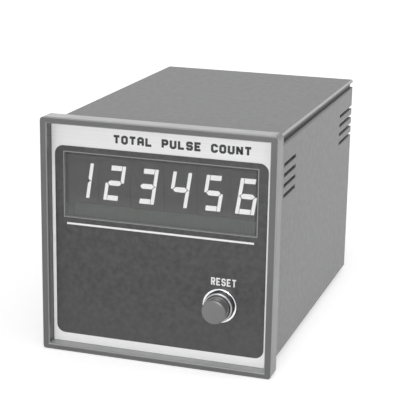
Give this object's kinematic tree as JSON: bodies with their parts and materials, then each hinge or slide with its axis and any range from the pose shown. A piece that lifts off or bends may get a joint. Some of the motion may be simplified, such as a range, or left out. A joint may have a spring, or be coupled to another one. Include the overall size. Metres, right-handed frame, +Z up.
{
  "type": "panel counter",
  "caption": "Square flush panel counter with a slanted seven-segment display behind a window, a sprung reset button and a deep vented case with rear screw terminals.",
  "frame": {"origin": "centre of the panel seat, which is the rear face of the bezel", "axes": "+X right seen from the front, +Y to the rear through the panel, +Z up"},
  "size_m": [0.096, 0.1615, 0.096],
  "materials": {
    "bezel_plastic": "satin grey moulding",
    "case_plastic": "satin grey moulding",
    "silver_plate": "satin silver",
    "dark_overlay": "matt dark film",
    "window_tint": "clear smoked acrylic",
    "digit_plastic": "matt moulding",
    "lit_segment": "lit segment",
    "dark_segment": "unlit segment",
    "bright_chrome": "polished chrome",
    "nickel": "nickel plated",
    "button_plastic": "glossy moulding",
    "switch_plastic": "matt moulding",
    "plunger_plastic": "natural moulding",
    "contact_brass": "plain brass",
    "spring_steel": "bright wire",
    "screw_steel": "zinc plated",
    "board_laminate": "green solder mask",
    "block_plastic": "matt moulding",
    "chip_plastic": "matt moulding",
    "core_steel": "varnished laminations",
    "winding_copper": "enamelled copper",
    "capacitor_sleeve": "shrunk sleeve",
    "heatsink_metal": "anodised"
  },
  "bodies": {
    "body": {"front_bezel": "bezel_plastic", "fascia_plate": "silver_plate", "fascia_overlay": "dark_overlay", "display_window": "window_tint", "digit_housing_1": "digit_plastic", "digit_housing_2": "digit_plastic", "digit_housing_3": "digit_plastic", "digit_housing_4": "digit_plastic", "digit_housing_5": "digit_plastic", "digit_housing_6": "digit_plastic", "lit_segments_1": "lit_segment", "lit_segments_2": "lit_segment", "lit_segments_3": "lit_segment", "lit_segments_4": "lit_segment", "lit_segments_5": "lit_segment", "lit_segments_6": "lit_segment", "dark_segments_1": "dark_segment", "dark_segments_2": "dark_segment", "dark_segments_3": "dark_segment", "dark_segments_4": "dark_segment", "dark_segments_5": "dark_segment", "dark_segments_6": "dark_segment", "digit_pins": "screw_steel", "display_board": "board_laminate", "board_spacers": "contact_brass", "board_screws": "screw_steel", "button_ring": "bright_chrome", "lock_washer": "screw_steel", "switch_bushing": "nickel", "switch_body": "switch_plastic", "switch_base": "switch_plastic", "switch_contacts": "contact_brass", "return_spring": "spring_steel", "rear_case": "case_plastic", "terminal_block": "block_plastic", "terminal_plates": "nickel", "terminal_screws": "screw_steel", "terminal_tails": "nickel", "block_screws": "screw_steel", "power_board": "board_laminate", "board_link": "chip_plastic", "counter_chip": "chip_plastic", "driver_chips": "chip_plastic", "transformer_core": "core_steel", "transformer_bobbin": "plunger_plastic", "transformer_winding": "winding_copper", "smoothing_capacitors": "capacitor_sleeve", "rectifier_diodes": "chip_plastic", "regulator": "chip_plastic", "heatsink": "heatsink_metal", "regulator_screw": "screw_steel"},
    "reset_button": {"button_cap": "button_plastic", "plunger": "plunger_plastic", "contact_bridge": "contact_brass"}
  },
  "joints": [
    {"name": "reset_press", "type": "slide", "parent": "body", "child": "reset_button", "axis": [0, 1, 0], "range_m": [0, 0.0025], "stiffness_N_per_m": 600, "springref_m": -0.002, "deforming": ["return_spring"]}
  ]
}
